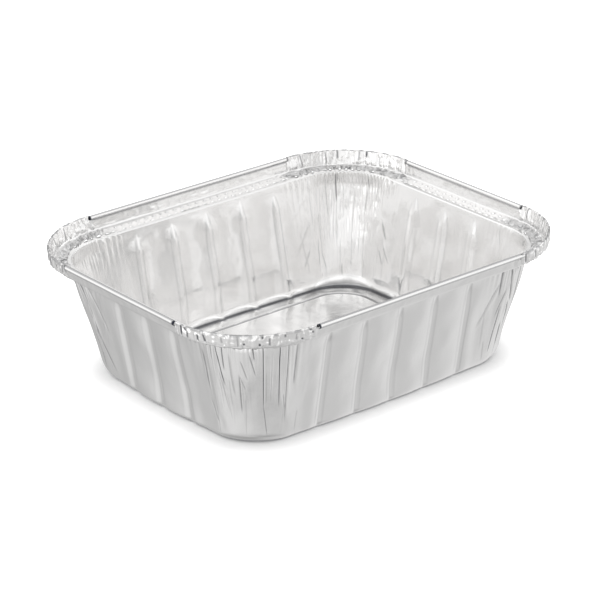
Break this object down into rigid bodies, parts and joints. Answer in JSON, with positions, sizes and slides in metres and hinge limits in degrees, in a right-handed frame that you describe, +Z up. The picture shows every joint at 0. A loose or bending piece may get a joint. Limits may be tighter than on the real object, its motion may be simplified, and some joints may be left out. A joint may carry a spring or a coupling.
{
  "type": "foil tray",
  "caption": "Open oblong foil food tray with fluted walls, gathered corners, a flat ledge and a rolled rim.",
  "frame": {"origin": "middle of the base, on the surface that the tray stands on", "axes": "+X along the tray's length, +Y along its width, +Z up out of its mouth"},
  "size_m": [0.1449, 0.1184, 0.0442],
  "materials": {
    "foil": "bright satin rolled foil, crinkled at the corners"
  },
  "bodies": {
    "root": {"foil_tray": "foil"}
  },
  "joints": []
}
